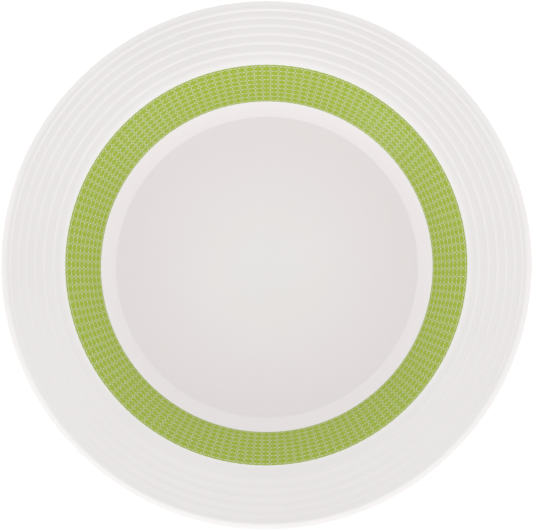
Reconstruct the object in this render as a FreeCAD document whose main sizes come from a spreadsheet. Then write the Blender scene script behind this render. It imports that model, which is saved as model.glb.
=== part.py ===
"""A china dinner plate: a turned porcelain blank, two coats of glaze, a printed band and a backstamp.

The plate stands on its foot ring. The origin is the centre of the foot ring's bearing face, +Z is up
and the plate is round about Z. Lengths are millimetres.
"""

import FreeCAD, Part
import os
import Sketcher
from FreeCAD import Vector

# Driving dimensions. Radii are measured from the axis and heights from the table.
SIZES = {
    # The bare blank's face, from the middle outwards. A ring's crest and rise are shares of its width
    "floor_radius": 71.5,
    "floor_height": 6.2,
    "crease_radius": 77.3,
    "crease_height": 6.6,
    "wall_bend_radius": 81.8,
    "wall_bend_height": 8.1,
    "verge_radius": 102.2,
    "verge_height": 22.9,
    "valley_radius": 107.3,
    "valley_height": 23.3,
    "ring_width": 4.9,
    "ring_narrowing": 0.945,
    "ring_climb": 0.08,
    "ring_crest": 0.25,
    "ring_rise": 0.09,
    "lip_crest_radius": 130.8,
    "lip_crest_height": 25.7,
    "lip_radius": 134.75,
    "lip_shoulder_height": 24.5,
    # The bare blank's back, from the lip inwards
    "lip_edge_height": 21.5,
    "verge_back_radius": 104.9,
    "verge_back_height": 18.7,
    "back_bend_radius": 86.6,
    "back_bend_height": 5.6,
    "foot_root_radius": 77.2,
    "foot_root_height": 2.3,
    "foot_outer_radius": 76.8,
    "foot_inner_radius": 72.6,
    "recess_radius": 72.0,
    "recess_height": 2.4,
    # Roundings
    "crease_round": 3.0,
    "wall_bend_round": 25.0,
    "verge_round": 15.0,
    "ring_round": 4.8,
    "lip_crest_round": 4.0,
    "lip_round": 1.4,
    "verge_back_round": 18.0,
    "back_bend_round": 25.0,
    "foot_root_round": 1.5,
    "foot_round": 0.9,
    "recess_round": 1.5,
    # Coats and prints
    "glaze": 0.25,
    "wiped_height": 0.8,
    "print": 0.12,
    "band_inner_radius": 84.8,
    "band_outer_radius": 101.9,
    "stamp_inner_radius": 9.0,
    "stamp_outer_radius": 14.0,
}

RING_COUNT = 5  # raised rings between the first valley and the lip
TOUCH = 0.001  # two lengths closer than this are the same

doc = FreeCAD.newDocument("dinner_plate")


# --- The sheet ----------------------------------------------------------------------------------

def add_sheet():
    """The spreadsheet of driving dimensions, one named cell each."""
    added = doc.addObject("Spreadsheet::Sheet", "sizes")
    for row, (alias, value) in enumerate(SIZES.items(), 1):
        added.set("A%d" % row, str(value))
        added.setAlias("A%d" % row, alias)
    doc.recompute()
    return added


sheet = add_sheet()


def size(expression):
    """The number that an expression in the sheet's cells comes to."""
    return float(sheet.evalExpression(expression))


# --- The blank's half section -------------------------------------------------------------------

def point(name):
    """A corner whose radius and height each have a cell."""
    return "sizes.%s_radius" % name, "sizes.%s_height" % name


def valley(number):
    """The valley inside a rim ring. The rings narrow outwards and climb evenly."""
    run = "sizes.ring_width * (1 - sizes.ring_narrowing ^ %d) / (1 - sizes.ring_narrowing)" % number
    return "sizes.valley_radius + " + run, "sizes.valley_height + sizes.ring_climb * " + run


def crest(number):
    """The crest of a rim ring, where its short steep flank meets its flat tread."""
    width = " * sizes.ring_width * sizes.ring_narrowing ^ %d" % number
    across, up = valley(number)
    return across + " + sizes.ring_crest" + width, up + " + sizes.ring_rise" + width


def shoulder():
    """The lip's upper corner."""
    return "sizes.lip_radius", "sizes.lip_shoulder_height"


def edge():
    """The lip's lower corner."""
    return "sizes.lip_radius", "sizes.lip_edge_height"


def foot(side):
    """The inner or the outer corner of the foot ring's bearing face."""
    return "sizes.foot_%s_radius" % side, "0"


def blank_corners():
    """The corners of the half section, along the face, round the lip and back along the underside."""
    corners = [("0", "sizes.floor_height"), point("floor"), point("crease")]
    corners += [point("wall_bend"), point("verge")]
    for number in range(RING_COUNT):
        corners += [valley(number), crest(number)]
    corners += [valley(RING_COUNT), point("lip_crest"), shoulder(), edge()]
    corners += [point("verge_back"), point("back_bend"), point("foot_root"), foot("outer"), foot("inner")]
    corners += [point("recess"), ("0", "sizes.recess_height")]
    return corners


def dimension(sketch, kind, place, expression):
    """Add a dimension to the sketch, bound to an expression in the sheet's cells."""
    number = sketch.addConstraint(Sketcher.Constraint(kind, *place, size(expression)))
    if expression != "0":
        sketch.setExpression("Constraints[%d]" % number, expression)


def draw_blank(sketch):
    """Draw the half section as straight runs from corner to corner."""
    corners = blank_corners()
    places = [Vector(size(radius), size(height), 0) for radius, height in corners]
    for start, end in zip(places, places[1:] + places[:1]):
        sketch.addGeometry(Part.LineSegment(start, end))
    for number, (radius, height) in enumerate(corners):
        following = (number + 1) % len(corners)
        sketch.addConstraint(Sketcher.Constraint("Coincident", number, 2, following, 1))
        dimension(sketch, "DistanceX", (-1, 1, number, 1), radius)
        dimension(sketch, "DistanceY", (-1, 1, number, 1), height)


# --- Features -----------------------------------------------------------------------------------

def round_corner(body, corner, radius):
    """Round the edge that a corner of the half section sweeps."""
    doc.recompute()
    sharp = body.Tip
    across, up = (size(expression) for expression in corner)
    swept = ["Edge%d" % number for number, edge in enumerate(sharp.Shape.Edges, 1)
             if isinstance(edge.Curve, Part.Circle)
             and abs(edge.Curve.Radius - across) < TOUCH and abs(edge.Curve.Center.z - up) < TOUCH]
    fillet = body.newObject("PartDesign::Fillet", radius)
    fillet.Base = (sharp, swept)
    fillet.setExpression("Radius", "sizes." + radius)
    body.Tip = fillet


def plane(body, role):
    """One of a body's own origin planes."""
    return next(feature for feature in body.Origin.OriginFeatures if feature.Role == role)


def add_blank():
    """The porcelain blank, turned about the axis from its half section, then rounded."""
    body = doc.addObject("PartDesign::Body", "porcelain_body")
    section = body.newObject("Sketcher::SketchObject", "half_section")
    section.AttachmentSupport = (plane(body, "XZ_Plane"), [""])
    section.MapMode = "FlatFace"
    draw_blank(section)
    turned = body.newObject("PartDesign::Revolution", "turned_blank")
    turned.Profile = section
    turned.ReferenceAxis = (section, ["V_Axis"])
    turned.Angle = 360
    body.Tip = turned
    for name in ("crease", "wall_bend", "verge", "lip_crest", "verge_back", "back_bend",
                 "foot_root", "recess"):
        round_corner(body, point(name), name + "_round")
    for number in range(RING_COUNT):
        round_corner(body, crest(number), "ring_round")
    for corner in (shoulder(), edge()):
        round_corner(body, corner, "lip_round")
    for side in ("outer", "inner"):
        round_corner(body, foot(side), "foot_round")
    doc.recompute()
    return body


def boolean(kind, name, base, tool):
    """A Part::Cut or Part::Common of two objects."""
    result = doc.addObject("Part::" + kind, name)
    result.Base = base
    result.Tool = tool
    return result


def drum(name, radius, low, high):
    """A solid cylinder about the axis between two heights."""
    added = doc.addObject("Part::Cylinder", name)
    added.setExpression("Radius", radius)
    added.setExpression("Height", "(%s) - (%s)" % (high, low))
    added.setExpression("Placement.Base.z", low)
    return added


def hoop(name, inner, outer, low, high):
    """A solid ring about the axis between two radii and two heights."""
    disc = drum(name + "_disc", outer, low, high)
    hole = drum(name + "_hole", inner, low, high)
    return boolean("Cut", name, disc, hole)


def raised(name, base, rise):
    """A copy of an object, lifted along the axis."""
    copy = doc.addObject("Part::Compound", name)
    copy.Links = [base]
    copy.setExpression("Placement.Base.z", rise)
    return copy


def add_glaze(blank):
    """The fired glaze: it covers the blank all over but for the wiped foot, so it is two coats.

    One coat runs over the face, round the lip and down the back to the foot. The other lines the
    recess inside the foot ring. The dipped shape that both come from is returned too.
    """
    dipped = doc.addObject("Part::Offset", "dipped_blank")
    dipped.Source = blank
    dipped.setExpression("Value", "sizes.glaze")
    dipped.Join = 2  # sharp corners stay sharp
    coat = boolean("Cut", "whole_coat", dipped, blank)
    sponge = drum("foot_sponge", "sizes.lip_radius", "-sizes.wiped_height", "sizes.wiped_height")
    wiped = boolean("Cut", "wiped_coat", coat, sponge)
    middle_of_foot = "(sizes.foot_inner_radius + sizes.foot_outer_radius) / 2"
    middle_of_floor = "(sizes.recess_height + sizes.floor_height) / 2"
    under_floor = drum("under_floor", middle_of_foot, "0", middle_of_floor)
    face_glaze = boolean("Cut", "face_glaze", wiped, under_floor)
    recess_glaze = boolean("Common", "recess_glaze", wiped, under_floor)
    return dipped, face_glaze, recess_glaze


def add_band(dipped):
    """The printed band: a thin enamel ring that follows the glazed wall and its turn into the rim."""
    sheet_of_enamel = boolean("Cut", "face_enamel", raised("raised_blank", dipped, "sizes.print"), dipped)
    zone = hoop("band_zone", "sizes.band_inner_radius", "sizes.band_outer_radius", "0", "sizes.lip_radius")
    return boolean("Common", "band_print", sheet_of_enamel, zone)


def add_backstamp():
    """A plain printed ring under the middle of the recess, on its glaze."""
    glazed_height = "sizes.recess_height - sizes.glaze"
    return hoop("backstamp", "sizes.stamp_inner_radius", "sizes.stamp_outer_radius",
                glazed_height + " - sizes.print", glazed_height)


# --- The plate ----------------------------------------------------------------------------------

def check(parts):
    """Stop if a feature failed or a sub-part isn't one sound solid."""
    for feature in doc.Objects:
        if "Invalid" in feature.State or "Error" in feature.State:
            raise RuntimeError("%s failed: %s" % (feature.Name, feature.State))
    for part in parts:
        if part.Shape.isNull() or not part.Shape.isValid() or len(part.Shape.Solids) != 1:
            raise RuntimeError("%s isn't one sound solid" % part.Label)
        box = part.Shape.optimalBoundingBox(False)
        print("%-16s %10.1f mm3  z %7.3f to %7.3f  across %8.3f"
              % (part.Label, part.Shape.Volume, box.ZMin, box.ZMax, box.XLength))


def main():
    """Build the plate and write each sub-part's STEP file."""
    blank = add_blank()
    dipped, face_glaze, recess_glaze = add_glaze(blank)
    parts = [blank, face_glaze, recess_glaze, add_band(dipped), add_backstamp()]
    doc.recompute()
    check(parts)
    os.makedirs("parts", exist_ok=True)
    for part in parts:
        part.Shape.exportStep("parts/%s.step" % part.Label)


main()
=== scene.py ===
"""The looks of a china dinner plate: turned porcelain, two coats of glaze, a printed band and a backstamp.

The plate stands at the origin on its foot ring, with +Z up. Lengths are metres.
"""

import bisect
import itertools
import math

import bpy
from mathutils import Matrix, Vector


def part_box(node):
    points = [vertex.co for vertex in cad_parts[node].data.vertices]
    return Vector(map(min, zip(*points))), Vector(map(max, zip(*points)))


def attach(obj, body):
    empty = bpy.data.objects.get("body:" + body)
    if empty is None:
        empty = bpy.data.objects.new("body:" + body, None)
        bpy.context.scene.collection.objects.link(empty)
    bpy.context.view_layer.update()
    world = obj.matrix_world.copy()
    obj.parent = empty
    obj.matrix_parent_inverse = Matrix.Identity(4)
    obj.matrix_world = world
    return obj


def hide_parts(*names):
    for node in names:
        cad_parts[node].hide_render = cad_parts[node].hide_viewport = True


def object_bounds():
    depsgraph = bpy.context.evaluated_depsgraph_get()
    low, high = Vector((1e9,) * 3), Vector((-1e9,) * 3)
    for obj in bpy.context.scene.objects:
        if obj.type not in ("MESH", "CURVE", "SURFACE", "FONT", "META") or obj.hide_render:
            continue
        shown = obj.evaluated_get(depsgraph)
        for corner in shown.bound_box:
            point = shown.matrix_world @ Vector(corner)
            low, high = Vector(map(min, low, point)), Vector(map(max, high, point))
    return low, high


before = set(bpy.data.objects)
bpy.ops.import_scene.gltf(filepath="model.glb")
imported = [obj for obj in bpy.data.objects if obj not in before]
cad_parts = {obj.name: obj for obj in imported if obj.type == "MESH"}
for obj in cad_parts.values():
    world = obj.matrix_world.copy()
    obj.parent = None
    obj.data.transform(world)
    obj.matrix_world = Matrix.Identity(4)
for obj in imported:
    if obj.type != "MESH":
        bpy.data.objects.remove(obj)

MM = 0.001
cad_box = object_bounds()


# --- Sizes --------------------------------------------------------------------------------------

def reach(node, nearest=False):
    """A CAD node's farthest or nearest distance from the plate's axis."""
    radii = [vertex.co.xy.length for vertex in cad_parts[node].data.vertices]
    return min(radii) if nearest else max(radii)


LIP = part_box("porcelain_body")[1].x
GLAZE = cad_box[1].x - LIP
GLAZE_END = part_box("face_glaze")[0].z
RECESS_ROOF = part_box("recess_glaze")[1].z
BAND_INNER = reach("band_print", nearest=True)
BAND_OUTER = reach("band_print")
STAMP_INNER = reach("backstamp", nearest=True)
STAMP_OUTER = reach("backstamp")

# The blank's corners: radius, height and how round each is. The rim's rings come between these two lists.
FACE_CORNERS = [
    (0, 6.2 * MM, 0),
    (71.5 * MM, 6.2 * MM, 30 * MM),
    (77.3 * MM, 6.6 * MM, 3 * MM),
    (81.8 * MM, 8.1 * MM, 25 * MM),
    (102.2 * MM, 22.9 * MM, 15 * MM),
]
BACK_CORNERS = [
    (130.8 * MM, 25.7 * MM, 4 * MM),
    (LIP, 24.5 * MM, 1.4 * MM),
    (LIP, 21.5 * MM, 1.4 * MM),
    (104.9 * MM, 18.7 * MM, 18 * MM),
    (86.6 * MM, 5.6 * MM, 25 * MM),
    (77.2 * MM, 2.3 * MM, 1.5 * MM),
    (76.8 * MM, 0, 0.9 * MM),
    (72.6 * MM, 0, 0.9 * MM),
    (72.0 * MM, RECESS_ROOF, 1.5 * MM),
    (0, RECESS_ROOF, 0),
]
FIRST_VALLEY = Vector((107.3, 23.3)) * MM
RING_COUNT = 5
RING_WIDTH = 4.9 * MM
RING_NARROWING = 0.945
# Shares of a ring's width: its climb, and its crest's distance and height from its valley
RING_CLIMB = 0.08
RING_CREST = 0.25
RING_RISE = 0.09
RING_ROUND = 4.8 * MM
VALLEY_ROUND = 0.6 * MM

# The print: a grid of ovals, with small diamonds where the grid's lines cross
COLUMNS = 148
ROWS = 8  # whole rows of ovals, between a sliver of one inside them and part of one outside them
FIRST_ROW = 0.63 * MM  # from the band's inner edge, along the glaze
ROW_PITCH = 2.33 * MM
ROW_GROWTH = 1.01
STAMP_COLUMNS = 18
STAMP_ROWS = 2
STAMP_ROW_PITCH = (STAMP_OUTER - STAMP_INNER) / 2.5
STAMP_FIRST_ROW = 0.25 * STAMP_ROW_PITCH
# Shares of the grid's cell
OVAL_WIDTH = 0.97
OVAL_HEIGHT = 0.965
DIAMOND_WIDTH = 0.42
DIAMOND_HEIGHT = 0.6
OVAL_SQUARENESS = 2.55
DIAMOND_WAIST = 0.6  # how far out the diamond's hollow sides come, against its points
PRINT = 0.04 * MM
CROWN = 0.85  # the flat top of a printed spot, as a share of its size

# How finely the meshes follow their shapes
SEGMENTS = 2 * COLUMNS  # steps round each turned piece
OVAL_STEPS = 24
DIAMOND_STEPS = 8
DENSE_STEP = 0.05 * MM  # between the points that an outline is first drawn with
SAGITTA = 0.002 * MM  # how far a turned piece's straight steps may cut inside its outline
HIDDEN_SAGITTA = 4 * SAGITTA  # the same under the glaze
LONGEST_STEP = 8 * MM
GLAZE_FADE = 0.6 * MM  # over which a coat of glaze rounds off at its end
SHARP_EDGE = math.radians(50)

# Colours are linear red, green and blue
GLAZE_WHITE = (0.786, 0.765, 0.759)
GLAZE_SHADE = (0.766, 0.745, 0.734)
# Painted shade: a darker, pinker glaze tone for the edge of the well and the wall, where shade falls
PAINTED_WELL_SHADE = (0.778, 0.737, 0.739)
SPECK_BROWN = (0.42, 0.36, 0.3)
GREEN = (0.31, 0.415, 0.016)
GREEN_SHADE = (0.285, 0.385, 0.012)
STAMP_GREEN = (0.2, 0.3, 0.08)
STAMP_SHADE = (0.16, 0.25, 0.06)
BISQUE_PALE = (0.82, 0.79, 0.74)
BISQUE_RUBBED = (0.7, 0.66, 0.6)

# Where the painted shade at the edge of the well and on the wall deepens and where it fades, from the plate's
# centre
PAINTED_SHADE_START = 10 * MM, 60 * MM
PAINTED_SHADE_END = 80 * MM, 98 * MM
SPECK_SPACING = 9 * MM
SPECK_RADIUS = 0.13 * MM
# Reliefs: their grain and height
GLAZE_RIPPLE = 9 * MM, 0.012 * MM
GLAZE_PEEL = 1.2 * MM, 0.0008 * MM
ENAMEL_GRAIN = 0.25 * MM, 0.002 * MM
BISQUE_GRAIN = 0.3 * MM, 0.02 * MM
# Roughnesses, smoothest and roughest
GLAZE_ROUGHNESS = 0.13, 0.2
ENAMEL_ROUGHNESS = 0.2, 0.32
BISQUE_ROUGHNESS = 0.75, 0.95
GLASS_IOR = 1.5

FLOOR_SIZE = 6
FLOOR_DROP = 0.1 * MM  # below the foot ring
FLOOR_GLOW = 0.75
# The white studio's brightness all round, and in the dimmer patch overhead
SKY_AROUND = 1.165
SKY_OVERHEAD = 0.38
OVERHEAD_EDGE = 0.86, 0.97  # the patch's soft edge, as heights on a sky of radius 1
OVERHEAD_LEAN = 9  # degrees from straight up towards +Y
# Name, azimuth, elevation, distance, size and power of each soft light
LIGHTS = [
    ("left_light", -45, 9, 1.4, 0.4, 3.7),
    ("right_light", 45, 9, 1.4, 0.4, 3.2),
]

CAMERA_AZIMUTH = 18
CAMERA_ELEVATION = 84.8
CAMERA_DISTANCE = 1.5
CAMERA_LENS = 200
CAMERA_AIM = Vector((0.34, -0.9, 23.5)) * MM

# The mix node's sockets for a share and two colours, and for the mixed colour
MIX_SHARE, MIX_FIRST, MIX_SECOND = 0, 6, 7
MIXED = 2


# --- The blank's outline ------------------------------------------------------------------------

def straight(start, end):
    """Closely spaced points along the straight run between two points."""
    count = max(4, round((end - start).length / DENSE_STEP))
    return [start.lerp(end, i / count) for i in range(count + 1)]


def round_off(before, corner, after, radius):
    """Closely spaced points along the arc that rounds the corner between two straight runs."""
    into, out = corner - before, after - corner
    turn = into.angle_signed(out)
    start = corner - into.normalized() * radius * math.tan(abs(turn) / 2)
    arm = into.orthogonal().normalized() * math.copysign(radius, turn)
    count = max(3, round(radius * abs(turn) / DENSE_STEP))
    return [start - arm + Matrix.Rotation(-turn * i / count, 2) @ arm for i in range(count + 1)]


def rim_corners():
    """The rim's corners: each ring's valley and crest, and the valley inside the lip."""
    corners = []
    valley = FIRST_VALLEY
    for number in range(RING_COUNT):
        width = RING_WIDTH * RING_NARROWING**number
        crest = valley + width * Vector((RING_CREST, RING_RISE))
        corners += [(*valley, VALLEY_ROUND), (*crest, RING_ROUND)]
        valley = valley + width * Vector((1, RING_CLIMB))
    return corners + [(*valley, VALLEY_ROUND)]


def blank_outline():
    """Closely spaced points of the blank's half section, from the floor's middle to the recess's middle."""
    corners = FACE_CORNERS + rim_corners() + BACK_CORNERS
    places = [Vector(corner[:2]) for corner in corners]
    outline = [places[0]]
    for before, corner, after, (_, _, radius) in zip(places, places[1:], places[2:], corners[1:]):
        arc = round_off(before, corner, after, radius)
        outline += straight(outline[-1], arc[0])[1:] + arc[1:]
    return outline + straight(outline[-1], places[-1])[1:]


def normals(outline):
    """The outward direction at each point of an outline that runs clockwise round its solid."""
    ends = [outline[0]] + outline + [outline[-1]]
    along = [(after - before).normalized() for before, after in zip(ends, ends[2:])]
    return [Vector((-way.y, way.x)) for way in along]


def raised(outline, height):
    """An outline moved outwards. The height may be a list, one for each point."""
    heights = height if isinstance(height, list) else [height] * len(outline)
    moved = [p + n * up for p, n, up in zip(outline, normals(outline), heights)]
    for place in (0, -1):
        moved[place].x = outline[place].x
    return moved


def thinned(outline, sagitta=SAGITTA):
    """An outline with only the points that it needs.

    A chord's sagitta is an eighth of its length times its turn.
    """
    kept, length, turn = [outline[0]], 0, 0
    for before, point, after in zip(outline, outline[1:], outline[2:]):
        length += (point - before).length
        turn += (point - before).angle(after - point)
        if length * turn / 8 > sagitta or length > LONGEST_STEP:
            kept.append(point)
            length, turn = 0, 0
    return kept + [outline[-1]]


# --- Meshes -------------------------------------------------------------------------------------

def add_mesh(name, points, faces, material, slot, *nodes):
    """A smooth closed mesh that rides on the plate and stands for CAD nodes. The slot argument is not used.
    """
    mesh = bpy.data.meshes.new(name)
    mesh.from_pydata(points, [], faces)
    mesh.materials.append(material)
    mesh.polygons.foreach_set("use_smooth", [True] * len(mesh.polygons))
    mesh.set_sharp_from_angle(angle=SHARP_EDGE)
    piece = bpy.data.objects.new(name, mesh)
    bpy.context.scene.collection.objects.link(piece)
    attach(piece, "root")
    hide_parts(*nodes)
    return piece


def around(angle, radius, height):
    """The point at this angle, distance from the axis and height."""
    return radius * math.cos(angle), radius * math.sin(angle), height


def turned(outline):
    """Points and faces of the solid that an outline sweeps round the axis. It starts and ends on the axis."""
    points = [(0, 0, outline[0].y), (0, 0, outline[-1].y)]
    rings = []
    for place in outline[1:-1]:
        rings.append(range(len(points), len(points) + SEGMENTS))
        points += [around(math.tau * i / SEGMENTS, place.x, place.y) for i in range(SEGMENTS)]
    steps = [(i, (i + 1) % SEGMENTS) for i in range(SEGMENTS)]
    faces = [(0, rings[0][i], rings[0][j]) for i, j in steps]
    for inner, outer in zip(rings, rings[1:]):
        faces += [(inner[i], outer[i], outer[j], inner[j]) for i, j in steps]
    faces += [(1, rings[-1][j], rings[-1][i]) for i, j in steps]
    return points, faces


def coat(part):
    """The closed outline of the glaze on part of the blank's outline. It thins out at its end on the foot."""
    on_face = part[0].x == 0
    thickness = []
    for number in range(len(part)):
        steps_left = len(part) - 1 - number if on_face else number
        share = min(1, steps_left * DENSE_STEP / GLAZE_FADE)
        thickness.append(GLAZE * math.sqrt(1 - (1 - share)**2))
    outer = thinned(raised(part, thickness))
    inner = thinned(part, sagitta=HIDDEN_SAGITTA)[::-1]
    return outer[:-1] + inner if on_face else inner[:-1] + outer


def track(outline, radius):
    """Follow an outline from where it first comes to a radius.

    The function that this gives returns the point and the outward way at a distance along the outline.
    """
    first = next(i for i, place in enumerate(outline) if place.x >= radius)
    places, ways, runs = outline[first:], normals(outline)[first:], [0]
    for before, after in zip(places, places[1:]):
        runs.append(runs[-1] + (after - before).length)

    def at(distance):
        last = min(max(bisect.bisect(runs, distance), 1), len(runs) - 1)
        share = (distance - runs[last - 1]) / (runs[last] - runs[last - 1])
        return places[last - 1].lerp(places[last], share), ways[last]

    return at


def distance_to(radius, at):
    """How far along a track it comes to a radius, in whole dense steps."""
    return next(i for i in itertools.count() if at(i * DENSE_STEP)[0].x >= radius) * DENSE_STEP


# --- The print ----------------------------------------------------------------------------------

def oval(half_width, half_height):
    """The corners of a squarish oval, anticlockwise."""
    power = 2 / OVAL_SQUARENESS
    corners = []
    for number in range(OVAL_STEPS):
        turn = math.tau * number / OVAL_STEPS
        across, up = math.cos(turn), math.sin(turn)
        corners.append((half_width * math.copysign(abs(across)**power, across),
                        half_height * math.copysign(abs(up)**power, up)))
    return corners


def diamond(half_width, half_height):
    """The corners of a small four-pointed diamond with hollow sides, anticlockwise."""
    corners = []
    for number in range(DIAMOND_STEPS):
        size = 1 if number % 2 == 0 else DIAMOND_WAIST
        turn = math.tau * number / DIAMOND_STEPS
        corners.append((half_width * size * math.cos(turn), half_height * size * math.sin(turn)))
    return corners


def cropped(corners, low, high):
    """A rounded shape cut off flat below one height and above another."""
    for limit, side in ((low, 1), (high, -1)):
        kept = []
        for (x0, y0), (x1, y1) in zip(corners, corners[1:] + corners[:1]):
            inside, next_inside = (y0 - limit) * side >= 0, (y1 - limit) * side >= 0
            if inside:
                kept.append((x0, y0))
            if inside != next_inside:
                kept.append((x0 + (x1 - x0) * (limit - y0) / (y1 - y0), limit))
        corners = kept
    return corners


def add_island(points, faces, corners, place):
    """Add a raised spot of print to a mesh. place gives the point at a height over a corner."""
    count = len(corners)
    middle = (sum(x for x, _ in corners) / count, sum(y for _, y in corners) / count)
    crown = [(middle[0] + (x - middle[0]) * CROWN, middle[1] + (y - middle[1]) * CROWN) for x, y in corners]
    first = len(points)
    points += [place(x, y, -PRINT / 2) for x, y in corners]
    points += [place(x, y, PRINT / 2) for x, y in corners]
    points += [place(x, y, PRINT) for x, y in crown]
    points += [place(*middle, -PRINT / 2), place(*middle, PRINT)]
    under, over = first + 3 * count, first + 3 * count + 1
    for i in range(count):
        j = (i + 1) % count
        a, b, c = (first + level * count for level in range(3))
        faces += [(under, a + j, a + i), (a + i, a + j, b + j, b + i), (b + i, b + j, c + j, c + i),
                  (c + i, c + j, over)]


def grid_lines(first, pitch, growth, rows):
    """The lines between rows of print: the whole rows, a row inside them and a row outside them."""
    lines = [first - pitch / growth]
    while len(lines) < rows + 3:
        lines.append(lines[-1] + pitch * growth**(len(lines) - 2))
    return lines


def motif(at, columns, lines, length):
    """The printed grid: an oval in each cell between two lines, and a diamond on each crossing.

    at gives the glaze's point and outward way at a distance along it, and lines are such distances.
    The ovals are cut off at distance 0 and at the print's length. Each kind of spot is points and faces.
    """
    ovals, diamonds = ([], []), ([], [])
    pitch = math.tau / columns
    for column in range(columns):
        def place(across, along, height, centre=column * pitch):
            point, way = at(along)
            point = point + way * height
            return around(centre - across, point.x, point.y)

        for low, high in zip(lines, lines[1:]):
            middle, half = (low + high) / 2, (high - low) * OVAL_HEIGHT / 2
            corners = [(x, middle + y) for x, y in oval(pitch * OVAL_WIDTH / 2, half)]
            corners = cropped(corners, 0, length)
            if corners:
                add_island(*ovals, corners, place)
        for line, following in zip(lines[1:], lines[2:]):
            corners = diamond(pitch * DIAMOND_WIDTH / 2, (following - line) * DIAMOND_HEIGHT / 2)
            add_island(*diamonds, [(x + pitch / 2, line + y) for x, y in corners], place)
    return ovals, diamonds


# --- Materials ----------------------------------------------------------------------------------

class Nodes:
    """A node tree that is being built."""

    def __init__(self, tree):
        self.tree = tree

    def node(self, kind, **settings):
        """Add a node. A setting is a property, or the value or the source of a named input."""
        added = self.tree.nodes.new(kind)
        for name, value in settings.items():
            if hasattr(added, name):
                setattr(added, name, value)
            elif isinstance(value, bpy.types.NodeSocket):
                self.tree.links.new(value, added.inputs[name])
            else:
                added.inputs[name].default_value = value
        return added

    def ease(self, value, low, high, at_low, at_high):
        """Go smoothly from one number to another as a value goes from low to high."""
        return self.node("ShaderNodeMapRange", interpolation_type="SMOOTHSTEP", Value=value, **{
            "From Min": low, "From Max": high, "To Min": at_low, "To Max": at_high}).outputs["Result"]

    def times(self, first, second):
        """The product of two values."""
        product = self.node("ShaderNodeMath", operation="MULTIPLY")
        self.tree.links.new(first, product.inputs[0])
        self.tree.links.new(second, product.inputs[1])
        return product.outputs[0]


class Finish(Nodes):
    """A material's nodes, patterned in the plate's own metres."""

    def __init__(self, name):
        self.material = bpy.data.materials.new(name)
        self.material.use_nodes = True
        super().__init__(self.material.node_tree)
        self.shader = self.tree.nodes["Principled BSDF"]
        self.place = self.node("ShaderNodeTexCoord").outputs["Object"]

    def noise(self, grain, detail=2):
        """Cloudy noise from 0 to 1 with grains of this size."""
        texture = self.node("ShaderNodeTexNoise", Vector=self.place, Scale=1 / grain, Detail=detail)
        return texture.outputs["Fac"]

    def spread(self, value, low, high):
        """A value's middle half stretched from one number to another."""
        return self.node("ShaderNodeMapRange", Value=value, **{
            "From Min": 0.25, "From Max": 0.75, "To Min": low, "To Max": high}).outputs["Result"]

    def blend(self, share, first, second):
        """A mix of two colours."""
        mix = self.node("ShaderNodeMix", data_type="RGBA")
        self.tree.links.new(share, mix.inputs[MIX_SHARE])
        for index, colour in ((MIX_FIRST, first), (MIX_SECOND, second)):
            if isinstance(colour, bpy.types.NodeSocket):
                self.tree.links.new(colour, mix.inputs[index])
            else:
                mix.inputs[index].default_value = (*colour, 1)
        return mix.outputs[MIXED]

    def mottle(self, grain, first, second, detail=2):
        """Two colours in clouds of this size."""
        return self.blend(self.spread(self.noise(grain, detail), 0, 1), first, second)

    def relief(self, grain, height, detail=2, under=None):
        """Bumps of this size and height, over another relief."""
        bump = self.node("ShaderNodeBump", Height=self.noise(grain, detail), Distance=height)
        if under:
            self.tree.links.new(under, bump.inputs["Normal"])
        return bump.outputs["Normal"]

    def set(self, **sources):
        """Set the shader's inputs, to numbers or to sources."""
        for name, value in sources.items():
            socket = self.shader.inputs[name.replace("_", " ")]
            if isinstance(value, bpy.types.NodeSocket):
                self.tree.links.new(value, socket)
            else:
                socket.default_value = value


def with_painted_shade(finish, tone):
    """A tone with painted shade, darker and pinker towards the edge of the well and on the wall."""
    distance = finish.node("ShaderNodeVectorMath", operation="LENGTH", Vector=finish.place).outputs["Value"]
    deepening = finish.ease(distance, *PAINTED_SHADE_START, 0, 1)
    fading = finish.ease(distance, *PAINTED_SHADE_END, 1, 0)
    return finish.blend(finish.times(deepening, fading), tone, PAINTED_WELL_SHADE)


def specked(finish, tone):
    """A tone with a few tiny dark specks."""
    cells = finish.node("ShaderNodeTexVoronoi", Vector=finish.place, Scale=1 / SPECK_SPACING)
    speck = finish.node("ShaderNodeMath", operation="LESS_THAN", use_clamp=True)
    finish.tree.links.new(cells.outputs["Distance"], speck.inputs[0])
    speck.inputs[1].default_value = SPECK_RADIUS / SPECK_SPACING
    return finish.blend(speck.outputs[0], tone, SPECK_BROWN)


def glaze_finish():
    """Clear gloss over warm white, faintly clouded and slightly rippled."""
    finish = Finish("glaze")
    tone = finish.mottle(45 * MM, GLAZE_WHITE, GLAZE_SHADE)
    # Painted shade goes into the glaze's tone at the edge of the well and on the wall, then the specks
    tone = specked(finish, with_painted_shade(finish, tone))
    ripple = finish.relief(*GLAZE_PEEL, under=finish.relief(*GLAZE_RIPPLE))
    finish.set(Base_Color=tone, Roughness=finish.spread(finish.noise(20 * MM, detail=5), *GLAZE_ROUGHNESS),
               IOR=GLASS_IOR, Normal=ripple, Coat_Weight=0.6, Coat_Roughness=0.06)
    return finish.material


def enamel_finish(name, colour, shade):
    """Fired enamel print: fine mottling of its colour, and a gloss a little duller than the glaze."""
    finish = Finish(name)
    tone = finish.mottle(0.5 * MM, colour, shade, detail=4)
    finish.set(Base_Color=tone, Roughness=finish.spread(finish.noise(3 * MM), *ENAMEL_ROUGHNESS),
               IOR=GLASS_IOR, Normal=finish.relief(*ENAMEL_GRAIN))
    return finish.material


def bisque_finish():
    """Bare fired porcelain, as on the foot: matt, finely grained, and greyed where it has rubbed."""
    finish = Finish("bisque")
    tone = finish.mottle(6 * MM, BISQUE_PALE, BISQUE_RUBBED, detail=6)
    finish.set(Base_Color=tone, Roughness=finish.spread(finish.noise(2 * MM), *BISQUE_ROUGHNESS),
               Normal=finish.relief(*BISQUE_GRAIN, detail=4))
    return finish.material


# --- The plate ----------------------------------------------------------------------------------

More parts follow.
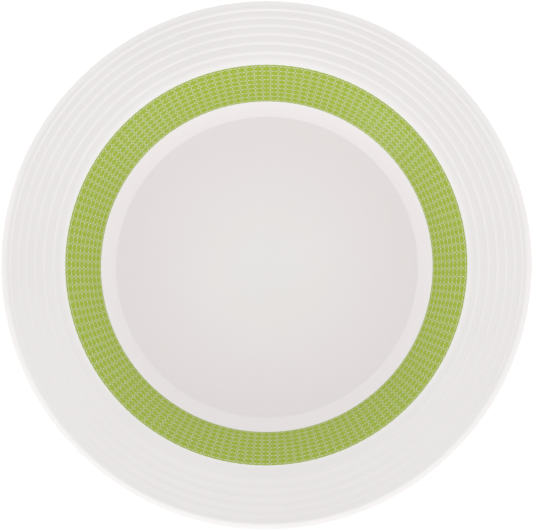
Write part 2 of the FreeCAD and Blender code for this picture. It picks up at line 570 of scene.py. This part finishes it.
def add_coats(outline):
    """The glaze: one coat over the face, the lip and the back, and one in the recess."""
    finish = glaze_finish()
    lip = max(range(len(outline)), key=lambda i: outline[i].x)
    face_end = next(i for i in range(lip, len(outline)) if outline[i].y <= GLAZE_END)
    recess_start = next(i for i in reversed(range(len(outline))) if outline[i].y <= GLAZE_END)
    add_mesh("face_coat", *turned(coat(outline[:face_end + 1])), finish, "glaze", "face_glaze")
    add_mesh("recess_coat", *turned(coat(outline[recess_start:])), finish, "glaze", "recess_glaze")


def add_band(outline):
    """The band's ovals and diamonds, on the wall's glaze."""
    finish = enamel_finish("green_enamel", GREEN, GREEN_SHADE)
    on_wall = track(raised(outline, GLAZE), BAND_INNER)
    lines = grid_lines(FIRST_ROW, ROW_PITCH, ROW_GROWTH, ROWS)
    ovals, diamonds = motif(on_wall, COLUMNS, lines, distance_to(BAND_OUTER, on_wall))
    add_mesh("band_ovals", *ovals, finish, "green_enamel", "band_print")
    add_mesh("band_diamonds", *diamonds, finish, "green_enamel", "band_print")


def on_recess(distance):
    """The point of the recess's glaze at a distance in from the stamp's outer edge, and the way out of it."""
    return Vector((STAMP_OUTER - distance, RECESS_ROOF - GLAZE)), Vector((0, -1))


def add_stamp():
    """The backstamp's ovals and diamonds, under the middle of the recess."""
    finish = enamel_finish("stamp_enamel", STAMP_GREEN, STAMP_SHADE)
    lines = grid_lines(STAMP_FIRST_ROW, STAMP_ROW_PITCH, 1, STAMP_ROWS)
    ovals, diamonds = motif(on_recess, STAMP_COLUMNS, lines, STAMP_OUTER - STAMP_INNER)
    add_mesh("stamp_ovals", *ovals, finish, "stamp_enamel", "backstamp")
    add_mesh("stamp_diamonds", *diamonds, finish, "stamp_enamel", "backstamp")


blank = blank_outline()
add_mesh("porcelain_blank", *turned(thinned(blank)), bisque_finish(), "porcelain", "porcelain_body")
add_coats(blank)
add_band(blank)
add_stamp()


# --- Floor, light and camera --------------------------------------------------------------------

def add_floor():
    """A plain white floor that glows a little, so that it stays white."""
    finish = Finish("studio_floor")
    finish.set(Base_Color=(0.9, 0.9, 0.9, 1), Roughness=0.9, Emission_Color=(1, 1, 1, 1),
               Emission_Strength=FLOOR_GLOW)
    mesh = bpy.data.meshes.new("studio_floor")
    half = FLOOR_SIZE / 2
    square = (-half, -half), (half, -half), (half, half), (-half, half)
    mesh.from_pydata([(x, y, -FLOOR_DROP) for x, y in square], [], [(0, 1, 2, 3)])
    mesh.materials.append(finish.material)
    floor = bpy.data.objects.new("studio_floor", mesh)
    bpy.context.scene.collection.objects.link(floor)


def sky_point(azimuth, elevation, distance):
    """A point seen from the plate in this direction. Azimuth 0 is the -Y side, and 90 the +X side."""
    turn, rise = math.radians(azimuth), math.radians(elevation)
    across, up = math.cos(rise), math.sin(rise)
    return distance * Vector((math.sin(turn) * across, -math.cos(turn) * across, up))


def add_light(name, azimuth, elevation, distance, size, watts):
    """A square soft light that faces the plate."""
    light = bpy.data.lights.new(name, "AREA")
    light.shape = "SQUARE"
    light.size = size
    light.energy = watts
    lamp = bpy.data.objects.new(name, light)
    lamp.location = sky_point(azimuth, elevation, distance)
    lamp.rotation_euler = (-lamp.location).to_track_quat("-Z", "Y").to_euler()
    bpy.context.scene.collection.objects.link(lamp)


def add_sky():
    """A white studio all round, with a dimmer patch overhead."""
    world = bpy.data.worlds.new("white_studio")
    world.use_nodes = True
    sky = Nodes(world.node_tree)
    way = sky.node("ShaderNodeTexCoord").outputs["Generated"]
    lean = math.radians(OVERHEAD_LEAN)
    leaning = sky.node("ShaderNodeMapping", Vector=way, Rotation=(lean, 0, 0)).outputs["Vector"]
    height = sky.node("ShaderNodeSeparateXYZ", Vector=leaning).outputs["Z"]
    glow = sky.ease(height, *OVERHEAD_EDGE, SKY_AROUND, SKY_OVERHEAD)
    backdrop = world.node_tree.nodes["Background"]
    backdrop.inputs["Color"].default_value = (1, 1, 1, 1)
    world.node_tree.links.new(glow, backdrop.inputs["Strength"])
    bpy.context.scene.world = world


def add_camera():
    """A long lens nearly overhead, a little towards -Y, with +Y up the picture."""
    away = sky_point(CAMERA_AZIMUTH, CAMERA_ELEVATION, 1)
    right = Vector((1, 0, 0))
    right = (right - away * right.dot(away)).normalized()
    up = away.cross(right)
    camera = bpy.data.cameras.new("camera")
    camera.lens = CAMERA_LENS
    eye = bpy.data.objects.new("camera", camera)
    eye.matrix_world = Matrix((right, up, away)).transposed().to_4x4()
    eye.location = CAMERA_AIM + away * CAMERA_DISTANCE
    bpy.context.scene.collection.objects.link(eye)
    bpy.context.scene.camera = eye


add_floor()
add_sky()
for light in LIGHTS:
    add_light(*light)
add_camera()
bpy.context.scene.view_settings.view_transform = "Standard"
